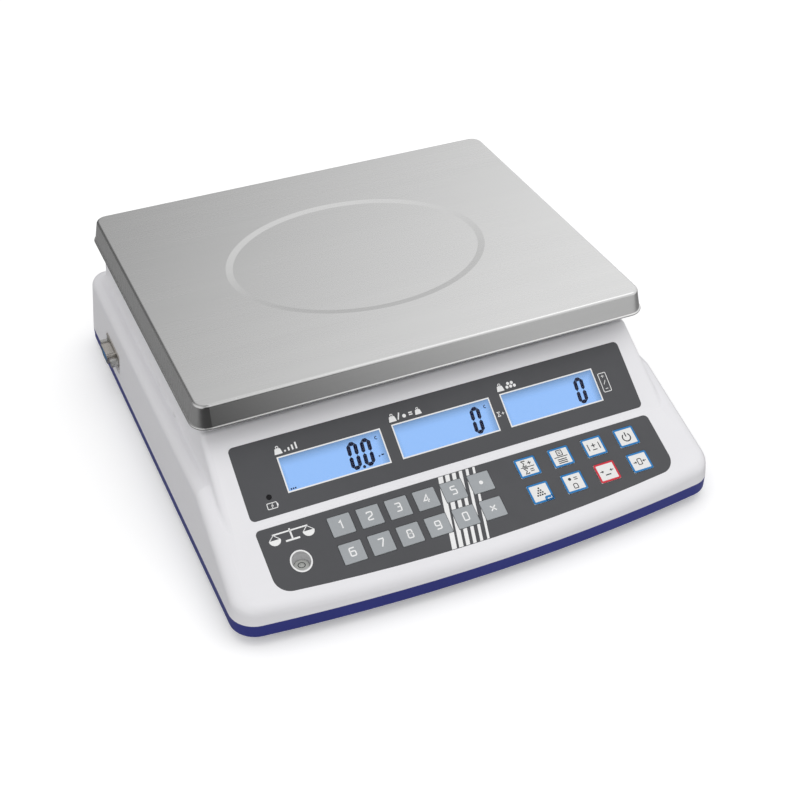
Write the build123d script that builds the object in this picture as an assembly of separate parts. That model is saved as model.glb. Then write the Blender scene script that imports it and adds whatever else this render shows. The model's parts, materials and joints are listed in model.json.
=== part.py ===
from build123d import *
import math
import os

os.makedirs("parts", exist_ok=True)

# Counting scale, millimetres. X to the right, Y to the rear, Z up, floor at Z = 0.
# Everything is built about the housing's centre plane and moved by MID_X on export, so that
# the origin is under the middle of the whole scale, connector included.

# ---- driving dimensions ----
HEIGHT = 106.0
DEPTH = 337.2
HALF_WIDTH = 154.1
PAN_WIDTH = 292.0
PAN_DEPTH = 231.9
PAN_FRONT = -79.8
CONNECTOR_REACH = 158.5
MID_X = (CONNECTOR_REACH - HALF_WIDTH) / 2
WALL = 2.5

# housing levels and slopes
BASE_BOTTOM = 7.8
PARTING = 16.0
SHOULDER = 57.0
CONSOLE_TOP = 79.5
SIDE_DRAFT = 6.5
BOW = 10.3
FRONT_Y = -DEPTH / 2
REAR_Y = DEPTH / 2
FRONT_CORNER = 16.0
REAR_CORNER = 15.0
CREASE_Y = -115.3
CREASE_Z = 44.55
DISPLAY_TILT = 35.9
KEYPAD_TILT = 22.06
CONSOLE_HALF = 142.9
CONSOLE_FOOT = 40.0
CONSOLE_DRAFT = 5.2
CONSOLE_REAR = 158.0
CONSOLE_CORNER = 12.0
CONSOLE_START = -140.0
SHOULDER_ROUND = 8.0
CONSOLE_ROUND = 4.0
CONSOLE_BLEND = 2.5
INNER_CHAMFER = 5.5
CUT_SIZE = 500.0
PAST = 1.0
RIM_CLEAR = 6.0
FRONT_ZONE = 25.0
BLEND_CLEAR = 0.5

# films, windows and keys
FILM = 0.4
FILM_WIDTH = 255.2
DISPLAY_FILM_DEPTH = 44.5
KEYPAD_FILM_DEPTH = 45.9
KEYPAD_FILM_SIDE = 38.9
DISPLAY_FILM_GAP = 3.3
KEYPAD_FILM_GAP = 2.3
FILM_CORNER = 3.0
FILM_CORNER_LOW = 10.0
FIT = 0.05
WINDOW_WIDTH = 64.0
WINDOW_HEIGHT = 21.7
WINDOW_MID_X = 1.1
WINDOW_PITCH = 71.2
WINDOW_DROP = 23.2
LCD_BORDER = 1.6
LCD_RECESS = 1.4
LCD_THICK = 2.8
BACKLIGHT_THICK = 4.0
NUMBER_KEY = (13.5, 12.5)
NUMBER_COLUMNS = 6
NUMBER_LEFT = -79.8
NUMBER_PITCH = 17.6
NUMBER_DROP = 11.1
NUMBER_ROW_PITCH = 17.7
FUNCTION_KEY = (13.5, 12.5)
FUNCTION_LEFT = 39.4
FUNCTION_PITCH = 22.7
FUNCTION_DROP = 10.5
FUNCTION_ROW_PITCH = 18.0
KEY_GAP = 0.3
KEY_RISE = 0.35
KEY_SINK = 1.0
KEY_EDGE = 0.6
PLUNGER_R = 2.0
PLUNGER_END = 1.8
DOME_R = 4.0
DOME_TOP = 2.3
KEYPAD_BOARD_TOP = 3.0
KEYPAD_BOARD = (-94.0, 120.0, 36.0)
KEYPAD_BOARD_DROP = 20.0
DISPLAY_BOARD = (233.6, 31.7)
BOARD = 1.6
BOARD_CORNER = 2.0
DISPLAY_POST_R = 1.5
KEYPAD_POST_R = 2.0
KEYPAD_POST_INSET = 3.0
LED_X = -113.4
LED_DROP = 33.2
LED_R = 1.6
LEVEL_X = -108.9
LEVEL_DROP = 24.6
LEVEL_R = 6.2
LEVEL_RIM = 0.6
LEVEL_DEPTH = 8.0
CUP_FLOOR = 1.0
VIAL_R = 4.6
VIAL_TOP = 3.2
VIAL_DOME = 0.8

# weighing platform
PAN_SHEET = 1.2
PAN_LIP = 14.8
PAN_FLARE = 3.0
PAN_EDGE = 2.4
PAN_CORNER = 11.0
HEM_OUT = 0.5
HEM_TALL = 1.6
HEM_ROUND = 0.75
EMBOSS_R = (85.5, 65.0)
EMBOSS_SINK = 0.45
EMBOSS_SLOPE = 4.5
POST_R = 15.0
POST_HOLE_R = 19.0
COLLAR_R = 22.5
COLLAR_RISE = 4.0
SPIDER_LOW = 92.0
SPIDER_HIGH = 98.0
SPIDER_REACH = (108.0, 82.0)
SPIDER_ARM = 16.0
SPIDER_HUB_R = 24.0
SPIDER_END_R = 12.0
PAD_R = 9.0
PLATE_LOW = 52.0
PLATE_HIGH = 58.0
PLATE_HALF = (75.0, 52.0)
PLATE_OVERHANG = 3.0
PLATE_CORNER = 8.0
POST_BOLT = 20.0
STOP_GAP = 0.6
STOP_AT = (62.0, 44.0)

# load cell and base frame
FRAME_LOW = 14.0
FRAME_HIGH = 18.0
FRAME_HALF = (85.0, 62.0)
FRAME_LEG_R = 5.0
FRAME_LEG_INSET = 8.0
CELL_LOW = 24.0
CELL_HIGH = 46.0
CELL_HALF = (75.0, 20.0)
CELL_BOLT_X = 63.0
CELL_BOLT_Y = 10.0
CELL_EYE_R = 8.0
CELL_EYE_X = 13.0
CELL_SLOT = 3.0
PAD_BLOCK = 28.0
BOLT_R = 3.0
BOLT_HOLE_R = 3.1
BOLT_HEAD_R = 5.0
BOLT_HEAD = 3.2
BOLT_SHORT = 4.0

# feet
FOOT_X = 126.0
FOOT_Y = 136.0
STUD_R = 3.95
INSERT_R = 4.0
INSERT_OUT_R = 6.0
BOSS_R = 9.0
BOSS_TOP = 25.0
STUD_TOP = 24.0
SHOE_R = 11.0
SHOE_TOP = 3.6
WHEEL_R = 9.5
WHEEL_LOW = 3.8
WHEEL_HIGH = 7.4
SPIGOT_R = 4.0
SPIGOT_LOW = 1.6
RUN_GAP = 0.1
SHOE_CHAMFER = 0.6
WHEEL_CHAMFER = 0.4

# housing screws
SCREW_X = 141.5
SCREW_ROWS = (-118.0, 5.0, 118.0)
SCREW_R = 1.4
PILOT_R = 1.5
SCREW_HEAD_R = 3.0
SCREW_HEAD_LOW = 8.6
SCREW_HEAD_HIGH = 10.8
SCREW_TOP = 30.0
SCREW_POST_R = 4.5

# serial connector (nine-way D shell) on the left wall
PORT_Y = 100.9
PORT_Z = 30.0
PORT_FACE = 151.6
FLANGE = (30.8, 12.5, 0.8)
SHELL_WIDE = 16.9
SHELL_TALL = 8.4
SHELL_SLANT = 10.0
SHELL_SHEET = 0.5
SHELL_CORNER = 2.4
PORT_CAN = (19.3, 10.7, 11.0)
JACK_SPACING = 24.99
JACK_FLATS = 4.75
JACK_LENGTH = 5.0
JACK_SHANK_R = 1.42
JACK_TAP_R = 1.2
JACK_TAIL = 7.0
JACK_FLOOR = 0.5
POCKET = (34.0, 15.5)
FLANGE_CORNER = 1.0
CONTACT_PITCH = 2.77
CONTACT_ROWS = ((1.42, 5), (-1.42, 4))
CONTACT_R = 0.55
CONTACT_DEPTH = 5.0
PORT_FOOT = (3.0, 16.0)

# mains adapter inlet on the rear wall
INLET_X = -88.0
INLET_Z = 29.0
INLET_R = 5.4
INLET_BORE_R = 3.1
INLET_PIN_R = 1.05
INLET_LENGTH = 12.0
INLET_DEPTH = 9.5
INLET_SET = 2.2
INLET_FACE = REAR_Y - INLET_SET
PIN_SET = 1.0

# battery bay
BATTERY = (100.0, 36.0, 24.0)
BATTERY_Y = 135.0
BATTERY_X = 20.0
DOOR = (112.0, 44.0, 2.0)
DOOR_LEDGE = 2.0
DOOR_GRIP = (24.0, 1.6, 0.8)
DOOR_GRIPS = 5
DOOR_GRIP_PITCH = 3.4
DOOR_GRIP_X = 44.0
BATTERY_GAP = 0.5
BATTERY_CORNER = 3.0

# main board, with the places and sizes of its largest parts
MAIN_BOARD = (-146.0, -92.0, 45.0, 112.0)
MAIN_BOARD_LOW = 18.0
MAIN_LEG_R = 3.0
MAIN_LEG_INSET = (5.0, 30.0)
CHIP = (20.0, 15.0, 14.0, 14.0, 2.0)
HEADER = (36.0, 45.0, 14.0, 7.0, 9.0)
CAPACITOR = (12.0, 20.0, 5.0, 11.0)

PAN_Y = PAN_FRONT + PAN_DEPTH / 2
SHELF = BASE_BOTTOM + WALL


def ramp(angle):
    """Normal of a face that climbs to the rear at this angle."""
    return (0, -math.sin(math.radians(angle)), math.cos(math.radians(angle)))


DISPLAY = Plane(origin=(0, CREASE_Y, CREASE_Z), x_dir=(1, 0, 0), z_dir=ramp(DISPLAY_TILT))
KEYPAD = Plane(origin=(0, CREASE_Y, CREASE_Z), x_dir=(1, 0, 0), z_dir=ramp(KEYPAD_TILT))
DISPLAY_FILM_TOP = DISPLAY_FILM_GAP + DISPLAY_FILM_DEPTH
DISPLAY_BOARD_TOP = LCD_RECESS + LCD_THICK + BACKLIGHT_THICK
KEYPAD_BOARD_V = -KEYPAD_FILM_GAP - KEYPAD_BOARD_DROP
LED_V = DISPLAY_FILM_TOP - LED_DROP
LEVEL_V = -KEYPAD_FILM_GAP - LEVEL_DROP
LEVEL_POINT = KEYPAD.from_local_coords((LEVEL_X, LEVEL_V, 0))


def save(name, shape):
    export_step(shape.moved(Location((MID_X, 0, 0))), f"parts/{name}.step")


def block(x0, x1, y0, y1, z0, z1):
    """Box between two corners."""
    middle = ((x0 + x1) / 2, (y0 + y1) / 2, (z0 + z1) / 2)
    return Pos(*middle) * Box(x1 - x0, y1 - y0, z1 - z0)


def rod(x, y, z0, z1, radius):
    """Upright cylinder between two levels."""
    return Pos(x, y, (z0 + z1) / 2) * Cylinder(radius, z1 - z0)


def slab(plane, x, v, width, height, low, high, corner=0.0):
    """Plate lying on a sloped face, between two depths measured along the face's normal."""
    sketch = Rectangle(width, height) if corner == 0 else RectangleRounded(width, height, corner)
    return plane * Pos(x, v, low) * extrude(sketch, high - low)


def peg(plane, x, v, radius, low, high):
    """Cylinder square to a sloped face."""
    return plane * Pos(x, v, low) * extrude(Circle(radius), high - low)


def above(plane, offset=0.0):
    """Everything above a sloped face."""
    return plane * Pos(0, 0, offset + CUT_SIZE / 2) * Box(CUT_SIZE, CUT_SIZE, CUT_SIZE)


def outline(inset):
    """Plan of the housing: straight sides and rear, bowed front, round corners."""
    half = HALF_WIDTH - inset
    rear = REAR_Y - inset
    front = FRONT_Y + inset
    side = front + BOW
    edges = Line((-half, rear), (-half, side))
    edges += ThreePointArc((-half, side), (0, front), (half, side))
    edges += Line((half, side), (half, rear))
    edges += Line((half, rear), (-half, rear))
    face = make_face(edges)
    face = fillet(face.vertices().group_by(Axis.Y)[0], FRONT_CORNER - inset)
    return fillet(face.vertices().group_by(Axis.Y)[-1], REAR_CORNER - inset)


def console_block(inset, top):
    """Raised middle of the housing, before its display slope is cut."""
    half = CONSOLE_HALF - inset
    rear = CONSOLE_REAR - inset
    sketch = Pos(0, (CONSOLE_START + rear) / 2) * Rectangle(2 * half, rear - CONSOLE_START)
    sketch = fillet(sketch.vertices().group_by(Axis.Y)[-1], CONSOLE_CORNER - inset)
    return Pos(0, 0, CONSOLE_FOOT) * extrude(sketch, top - CONSOLE_FOOT, taper=CONSOLE_DRAFT)


def body_block(inset, low, top):
    """Lower mass of the housing with its drafted walls and keypad slope."""
    grown = (PARTING - low) * math.tan(math.radians(SIDE_DRAFT))
    solid = Pos(0, 0, low) * extrude(outline(inset - grown), top - low, taper=SIDE_DRAFT)
    return solid - above(KEYPAD, -inset)


def housing_outside():
    base = body_block(0, PARTING, SHOULDER)
    rims = base.edges().filter_by(lambda e: is_rim(e))
    base = fillet(rims, SHOULDER_ROUND)
    console = console_block(0, CONSOLE_TOP) - above(DISPLAY)
    rims = console.edges().filter_by(lambda e: is_console_rim(e))
    console = fillet(rims, CONSOLE_ROUND)
    body = base + console
    return fillet(body.edges().filter_by(lambda e: is_blend(e, console)), CONSOLE_BLEND)


def is_rim(edge):
    """Upper outer edge of the lower mass: high, and not the crease across it."""
    middle = edge.center()
    across = abs(edge.tangent_at(0.5).X) > 0.99 and middle.Y > FRONT_Y + FRONT_ZONE
    upright = abs(edge.tangent_at(0.5).Z) > 0.9
    if upright or middle.Z < PARTING + RIM_CLEAR:
        return False
    return not across or middle.Y > REAR_Y - FRONT_ZONE


def is_blend(edge, console):
    """Inner corner where the console rises from the lower mass."""
    middle = edge.center()
    high = CREASE_Z + BLEND_CLEAR < middle.Z < SHOULDER + RUN_GAP
    return high and console.distance_to(middle) < RUN_GAP / 10


def is_console_rim(edge):
    """Upper edges of the console, with the front one."""
    middle = edge.center()
    upright = abs(edge.tangent_at(0.5).Z) > 0.9
    return not upright and middle.Z > CREASE_Z + RIM_CLEAR


def housing_inside():
    base = body_block(WALL, PARTING - PAST, SHOULDER - WALL)
    rims = base.edges().filter_by(lambda e: is_rim(e))
    base = chamfer(rims, INNER_CHAMFER)
    console = console_block(WALL, CONSOLE_TOP - WALL) - above(DISPLAY, -WALL)
    return base + console


def key_centres():
    """Name, place on the keypad slope and size of each key."""
    names = ["1", "2", "3", "4", "5", "point", "6", "7", "8", "9", "0", "clear"]
    for index, name in enumerate(names):
        column = index % NUMBER_COLUMNS
        row = index // NUMBER_COLUMNS
        x = NUMBER_LEFT + column * NUMBER_PITCH
        v = -KEYPAD_FILM_GAP - NUMBER_DROP - row * NUMBER_ROW_PITCH
        yield f"key_{name}", x, v, NUMBER_KEY
    names = ["memory", "print", "tolerance", "power", "count", "reference", "tare", "zero"]
    for index, name in enumerate(names):
        column = index % 4
        row = index // 4
        x = FUNCTION_LEFT + column * FUNCTION_PITCH
        v = -KEYPAD_FILM_GAP - FUNCTION_DROP - row * FUNCTION_ROW_PITCH
        yield f"key_{name}", x, v, FUNCTION_KEY


def window_places():
    """Middle of each display window on the display slope."""
    v = DISPLAY_FILM_TOP - WINDOW_DROP
    for step in (-1, 0, 1):
        yield WINDOW_MID_X + step * WINDOW_PITCH, v


def keypad_film_sketch(grow):
    """Keypad film's outline: straight top and sides, bowed bottom with large round corners."""
    half = FILM_WIDTH / 2 + grow
    top = -KEYPAD_FILM_GAP + grow
    side = -KEYPAD_FILM_GAP - KEYPAD_FILM_SIDE - grow
    low = -KEYPAD_FILM_GAP - KEYPAD_FILM_DEPTH - grow
    edges = Line((-half, top), (-half, side))
    edges += ThreePointArc((-half, side), (0, low), (half, side))
    edges += Line((half, side), (half, top))
    edges += Line((half, top), (-half, top))
    face = make_face(edges)
    face = fillet(face.vertices().group_by(Axis.Y)[0], FILM_CORNER_LOW + grow)
    return fillet(face.vertices().group_by(Axis.Y)[-1], FILM_CORNER + grow)


def display_film_block(grow, low, high):
    v = DISPLAY_FILM_GAP + DISPLAY_FILM_DEPTH / 2
    width = FILM_WIDTH + 2 * grow
    height = DISPLAY_FILM_DEPTH + 2 * grow
    return slab(DISPLAY, 0, v, width, height, low, high, FILM_CORNER + grow)


def keypad_film_block(grow, low, high):
    return KEYPAD * Pos(0, 0, low) * extrude(keypad_film_sketch(grow), high - low)


def port_x(depth):
    """X of a plane inside the left wall's connector pocket, depth measured inwards."""
    return -PORT_FACE + depth


def port_box(x0, x1, wide, tall):
    """Box centred on the connector, between two X planes."""
    return block(x0, x1, PORT_Y - wide / 2, PORT_Y + wide / 2, PORT_Z - tall / 2, PORT_Z + tall / 2)


def port_cuts():
    """Pocket, connector opening and jackscrew holes in the left wall."""
    cuts = port_box(-HALF_WIDTH - PAST, port_x(0), *POCKET)
    can_long, can_tall, can_deep = PORT_CAN
    cuts += port_box(port_x(-PAST), port_x(can_deep), can_long + 2 * KEY_GAP, can_tall + 2 * KEY_GAP)
    for side in (-1, 1):
        y = PORT_Y + side * JACK_SPACING / 2
        cuts += along_x(y, port_x(-PAST), port_x(can_deep), JACK_SHANK_R + KEY_GAP)
    return cuts


def along_x(y, x0, x1, radius):
    """Cylinder along X at the connector's height."""
    return Pos((x0 + x1) / 2, y, PORT_Z) * Rot(0, 90, 0) * Cylinder(radius, x1 - x0)


def along_y(y0, y1, radius):
    """Cylinder along Y on the inlet's axis."""
    return Pos(INLET_X, (y0 + y1) / 2, INLET_Z) * Rot(90, 0, 0) * Cylinder(radius, y1 - y0)


def screw_places():
    for x in (-SCREW_X, SCREW_X):
        for y in SCREW_ROWS:
            yield x, y


def board_posts():
    """Posts under the display and keypad slopes that carry the two boards."""
    posts = []
    for x in (WINDOW_MID_X - WINDOW_PITCH / 2, WINDOW_MID_X + WINDOW_PITCH / 2):
        v = DISPLAY_FILM_TOP - WINDOW_DROP
        posts.append(peg(DISPLAY, x, v, DISPLAY_POST_R, -DISPLAY_BOARD_TOP, -PAST))
    left, right, _ = KEYPAD_BOARD
    for x in (left + KEYPAD_POST_INSET, right - KEYPAD_POST_INSET):
        posts.append(peg(KEYPAD, x, KEYPAD_BOARD_V, KEYPAD_POST_R, -KEYPAD_BOARD_TOP, -PAST))
    return posts


def upper_housing():
    outside = housing_outside()
    shell = outside - housing_inside()
    for x, y in screw_places():
        shell += rod(x, y, PARTING, CONSOLE_TOP, SCREW_POST_R) & outside
    for post in board_posts():
        shell += post
    shell += rod(0, PAN_Y, CONSOLE_TOP - WALL, CONSOLE_TOP + COLLAR_RISE, COLLAR_R)
    shell -= rod(0, PAN_Y, CONSOLE_FOOT, SPIDER_LOW, POST_HOLE_R)
    for x, y in screw_places():
        shell -= rod(x, y, PARTING - PAST, SCREW_TOP + PAST, PILOT_R)
    shell -= display_film_block(FIT, -FILM, PAST)
    shell -= keypad_film_block(FIT, -FILM, PAST)
    seat = 2 * (LCD_BORDER + FIT)
    for x, v in window_places():
        shell -= slab(DISPLAY, x, v, WINDOW_WIDTH + seat, WINDOW_HEIGHT + seat, -WALL - PAST, PAST)
    for _, x, v, (wide, tall) in key_centres():
        shell -= slab(KEYPAD, x, v, wide + 2 * KEY_GAP, tall + 2 * KEY_GAP, -WALL - PAST, PAST)
    shell -= peg(DISPLAY, LED_X, LED_V, LED_R + FIT, -WALL - PAST, PAST)
    shell -= Pos(*LEVEL_POINT) * Cylinder(LEVEL_R + FIT, 4 * LEVEL_DEPTH)
    shell -= port_cuts()
    shell -= along_y(INLET_FACE - INLET_LENGTH, REAR_Y + PAST, INLET_R + FIT)
    return shell


def foot_places():
    for number, (sx, sy) in enumerate(((-1, -1), (1, -1), (1, 1), (-1, 1)), start=1):
        yield number, sx * FOOT_X, sy * FOOT_Y


def frame_legs():
    for sx in (-1, 1):
        for sy in (-1, 1):
            yield sx * (FRAME_HALF[0] - FRAME_LEG_INSET), PAN_Y + sy * (FRAME_HALF[1] - FRAME_LEG_INSET)


def door_block(margin, top):
    """Battery opening in the floor, grown or shrunk by a margin, up to a level."""
    half_x = DOOR[0] / 2 + margin
    half_y = DOOR[1] / 2 + margin
    x, y = BATTERY_X, BATTERY_Y
    return block(x - half_x, x + half_x, y - half_y, y + half_y, 0, top)


def lower_housing():
    """Tray with upright walls, its feet's bosses and the legs under the frame and main board."""
    tray = Pos(0, 0, BASE_BOTTOM) * extrude(outline(0), PARTING - BASE_BOTTOM)
    tray -= Pos(0, 0, SHELF) * extrude(outline(WALL), PARTING)
    for _, x, y in foot_places():
        tray += rod(x, y, SHELF - PAST, BOSS_TOP, BOSS_R)
        tray -= rod(x, y, 0, BOSS_TOP + PAST, INSERT_OUT_R)
    for x, y in screw_places():
        tray += rod(x, y, SHELF - PAST, PARTING, SCREW_POST_R)
        tray -= rod(x, y, 0, PARTING + PAST, SCREW_R + 2 * RUN_GAP)
        tray -= rod(x, y, 0, SCREW_HEAD_HIGH, SCREW_HEAD_R + KEY_GAP)
    for x, y in frame_legs():
        tray += rod(x, y, SHELF - PAST, FRAME_LOW, FRAME_LEG_R)
    for x, y in main_board_corners():
        tray += rod(x, y, SHELF - PAST, MAIN_BOARD_LOW, MAIN_LEG_R)
    tray -= door_block(KEY_GAP, BASE_BOTTOM + DOOR[2] + RUN_GAP)
    return tray - door_block(-DOOR_LEDGE, PARTING)


def main_board_corners():
    x0, x1, y0, y1 = MAIN_BOARD
    near, far = MAIN_LEG_INSET
    for x in (x0 + near, x1 - near):
        for y in (y0 + near, y1 - far):
            yield x, y


def display_overlay():
    film = display_film_block(0, -FILM, 0)
    for x, v in window_places():
        film -= slab(DISPLAY, x, v, WINDOW_WIDTH, WINDOW_HEIGHT, -PAST, PAST)
    film -= peg(DISPLAY, LED_X, LED_V, LED_R + FIT, -PAST, PAST)
    return film


def keypad_overlay():
    film = keypad_film_block(0, -FILM, 0)
    gap = 2 * KEY_GAP
    for _, x, v, (wide, tall) in key_centres():
        film -= slab(KEYPAD, x, v, wide + gap, tall + gap, -PAST, PAST, KEY_EDGE + KEY_GAP)
    film -= Pos(*LEVEL_POINT) * Cylinder(LEVEL_R + FIT, 4 * LEVEL_DEPTH)
    return film


def window_lenses():
    return [slab(DISPLAY, x, v, WINDOW_WIDTH, WINDOW_HEIGHT, -FILM, 0) for x, v in window_places()]


def lcd_modules():
    width = WINDOW_WIDTH + 2 * LCD_BORDER
    height = WINDOW_HEIGHT + 2 * LCD_BORDER
    low = -LCD_RECESS - LCD_THICK
    return [slab(DISPLAY, x, v, width, height, low, -LCD_RECESS) for x, v in window_places()]


def backlights():
    low = -DISPLAY_BOARD_TOP
    high = -LCD_RECESS - LCD_THICK
    return [slab(DISPLAY, x, v, WINDOW_WIDTH, WINDOW_HEIGHT, low, high) for x, v in window_places()]


def display_board():
    v = DISPLAY_FILM_TOP - WINDOW_DROP
    high = -DISPLAY_BOARD_TOP
    return slab(DISPLAY, WINDOW_MID_X, v, *DISPLAY_BOARD, high - BOARD, high, BOARD_CORNER)


def keypad_board():
    left, right, tall = KEYPAD_BOARD
    x = (left + right) / 2
    high = -KEYPAD_BOARD_TOP
    return slab(KEYPAD, x, KEYPAD_BOARD_V, right - left, tall, high - BOARD, high, BOARD_CORNER)


def key_domes():
    return [peg(KEYPAD, x, v, DOME_R, -KEYPAD_BOARD_TOP, -DOME_TOP) for _, x, v, _ in key_centres()]


def key(x, v, size):
    """Key cap with a raised, chamfered face, and the plunger over its dome."""
    cap = slab(KEYPAD, x, v, size[0], size[1], -KEY_SINK, KEY_RISE, KEY_EDGE)
    top = cap.faces().sort_by(Axis((0, 0, 0), ramp(KEYPAD_TILT)))[-1]
    cap = chamfer(top.edges(), KEY_RISE / 2)
    return cap + peg(KEYPAD, x, v, PLUNGER_R, -PLUNGER_END, -KEY_SINK)


def charge_led():
    return peg(DISPLAY, LED_X, LED_V, LED_R, -WALL - PAST, 0)


def level_cup():
    """Funnel with an upright axis, cut flush with the keypad slope."""
    low = LEVEL_POINT.Z - LEVEL_DEPTH
    tall = 2 * LEVEL_DEPTH
    cup = rod(LEVEL_X, LEVEL_POINT.Y, low, low + tall, LEVEL_R)
    wide = LEVEL_R - LEVEL_RIM
    vial_top = LEVEL_POINT.Z - VIAL_TOP
    cup -= rod(LEVEL_X, LEVEL_POINT.Y, low + CUP_FLOOR, low + tall, VIAL_R)
    cup -= Pos(LEVEL_X, LEVEL_POINT.Y, vial_top + VIAL_TOP / 2) * Cone(VIAL_R, wide, VIAL_TOP)
    cup -= rod(LEVEL_X, LEVEL_POINT.Y, vial_top + VIAL_TOP, low + tall, wide)
    return cup - above(KEYPAD, FILM / 2)


def level_vial():
    """Clear bull's-eye vial with a domed top, resting in the cup."""
    low = LEVEL_POINT.Z - LEVEL_DEPTH + CUP_FLOOR
    vial = rod(LEVEL_X, LEVEL_POINT.Y, low, LEVEL_POINT.Z - VIAL_TOP, VIAL_R)
    return fillet(vial.edges().group_by(Axis.Z)[-1], VIAL_DOME)


def shell_sketch(grow):
    """D outline in the connector's own plane, long side up."""
    half = SHELL_WIDE / 2 + grow
    tall = SHELL_TALL / 2 + grow
    slant = 2 * tall * math.tan(math.radians(SHELL_SLANT))
    corners = ((-half, tall), (-half + slant, -tall), (half - slant, -tall), (half, tall))
    face = Polygon(*corners, align=None)
    return fillet(face.vertices(), SHELL_CORNER + grow)


def on_port(sketch, x0, x1):
    """Prism of a connector section between two X planes of the left wall."""
    plane = Plane(origin=(x0, PORT_Y, PORT_Z), x_dir=(0, 1, 0), z_dir=(1, 0, 0))
    return plane * extrude(sketch, x1 - x0)


def serial_shell():
    """Flange, D-shaped skirt and the can behind the flange."""
    long, tall, thick = FLANGE
    can_long, can_tall, can_deep = PORT_CAN
    shell = on_port(RectangleRounded(long, tall, FLANGE_CORNER), port_x(-thick), port_x(0))
    shell += on_port(shell_sketch(0), -CONNECTOR_REACH, port_x(0))
    can = RectangleRounded(can_long, can_tall, FLANGE_CORNER)
    shell += on_port(can, port_x(0), port_x(can_deep))
    shell -= on_port(shell_sketch(-SHELL_SHEET), -CONNECTOR_REACH, port_x(can_deep - SHELL_SHEET))
    for side in (-1, 1):
        y = PORT_Y + side * JACK_SPACING / 2
        shell -= along_x(y, port_x(-thick - PAST), port_x(PAST), JACK_SHANK_R + RUN_GAP)
    return shell


def serial_insulator():
    """Insulating block that fills the skirt, with its nine contact holes."""
    face = -CONNECTOR_REACH + SHELL_SHEET
    core = on_port(shell_sketch(-SHELL_SHEET), face, port_x(PORT_CAN[2] - SHELL_SHEET))
    for row, count in CONTACT_ROWS:
        for place in range(count):
            y = (place - (count - 1) / 2) * CONTACT_PITCH
            hole = Pos(y, row) * Circle(CONTACT_R)
            core -= on_port(hole, face, face + CONTACT_DEPTH)
    return core


def serial_jackscrews():
    """Hexagonal posts with a tapped end, and the shank that clamps the flange."""
    screws = []
    outer = port_x(-FLANGE[2])
    for side in (-1, 1):
        y = PORT_Y + side * JACK_SPACING / 2
        hexagon = RegularPolygon(JACK_FLATS / 2, 6, major_radius=False)
        hexagon = Pos(side * JACK_SPACING / 2, 0) * hexagon
        post = on_port(hexagon, outer - JACK_LENGTH, outer)
        post += along_x(y, outer, outer + JACK_TAIL, JACK_SHANK_R)
        bore = along_x(y, outer - JACK_LENGTH - PAST, outer - JACK_FLOOR, JACK_TAP_R)
        screws.append(post - bore)
    return screws


def adapter_inlet():
    body = along_y(INLET_FACE - INLET_LENGTH, INLET_FACE, INLET_R)
    body -= along_y(INLET_FACE - INLET_DEPTH, INLET_FACE + PAST, INLET_BORE_R)
    return body - along_y(INLET_FACE - INLET_LENGTH - PAST, INLET_FACE, INLET_PIN_R)


def adapter_pin():
    return along_y(INLET_FACE - INLET_LENGTH, INLET_FACE - PIN_SET, INLET_PIN_R)


def on_board(part):
    """Box on the main board: its place from the board's corner, its two sides and its height."""
    x, y, wide, deep, tall = part
    x += MAIN_BOARD[0]
    y += MAIN_BOARD[2]
    top = MAIN_BOARD_LOW + BOARD
    return block(x, x + wide, y, y + deep, top, top + tall)


def main_board():
    x0, x1, y0, y1 = MAIN_BOARD
    top = MAIN_BOARD_LOW + BOARD
    board = block(x0, x1, y0, y1, MAIN_BOARD_LOW, top)
    board += on_board(CHIP)
    board += on_board(HEADER)
    x, y, radius, tall = CAPACITOR
    board += rod(x0 + x, y0 + y, top, top + tall, radius)
    start, wide = PORT_FOOT
    can_low = PORT_Z - PORT_CAN[1] / 2
    y = PORT_Y - wide / 2
    return board + block(port_x(start), port_x(PORT_CAN[2]), y, y + wide, top, can_low)


def cell_places(side):
    """Bolt places at one end of the load cell: -1 fixed end, +1 live end."""
    for y in (PAN_Y - CELL_BOLT_Y, PAN_Y + CELL_BOLT_Y):
        yield side * CELL_BOLT_X, y


def stop_places():
    for sx in (-1, 1):
        for sy in (-1, 1):
            yield sx * STOP_AT[0], PAN_Y + sy * STOP_AT[1]


def base_frame():
    """Cast plate with the pad block that lifts the load cell's fixed end."""
    half_x, half_y = FRAME_HALF
    frame = block(-half_x, half_x, PAN_Y - half_y, PAN_Y + half_y, FRAME_LOW, FRAME_HIGH)
    frame = fillet(frame.edges().filter_by(Axis.Z), PLATE_CORNER)
    x0 = -CELL_HALF[0]
    y0 = PAN_Y - CELL_HALF[1]
    y1 = PAN_Y + CELL_HALF[1]
    frame += block(x0, x0 + PAD_BLOCK, y0, y1, FRAME_HIGH, CELL_LOW)
    for x, y in cell_places(-1):
        frame -= rod(x, y, 0, CELL_LOW + PAST, BOLT_HOLE_R)
    for x, y in stop_places():
        frame -= rod(x, y, 0, CELL_LOW, BOLT_R)
    return frame


def load_cell():
    """Bending beam with its two linked eyes and bolt holes."""
    half_x, half_y = CELL_HALF
    middle = (CELL_LOW + CELL_HIGH) / 2
    beam = block(-half_x, half_x, PAN_Y - half_y, PAN_Y + half_y, CELL_LOW, CELL_HIGH)
    for side in (-1, 1):
        beam -= Pos(side * CELL_EYE_X, PAN_Y, middle) * Rot(90, 0, 0) * Cylinder(CELL_EYE_R, 3 * half_y)
    slot = CELL_SLOT / 2
    side_y = half_y + PAST
    beam -= block(-CELL_EYE_X, CELL_EYE_X, PAN_Y - side_y, PAN_Y + side_y, middle - slot, middle + slot)
    for side in (-1, 1):
        for x, y in cell_places(side):
            beam -= rod(x, y, CELL_LOW - PAST, CELL_HIGH + PAST, BOLT_HOLE_R)
    return beam


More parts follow.
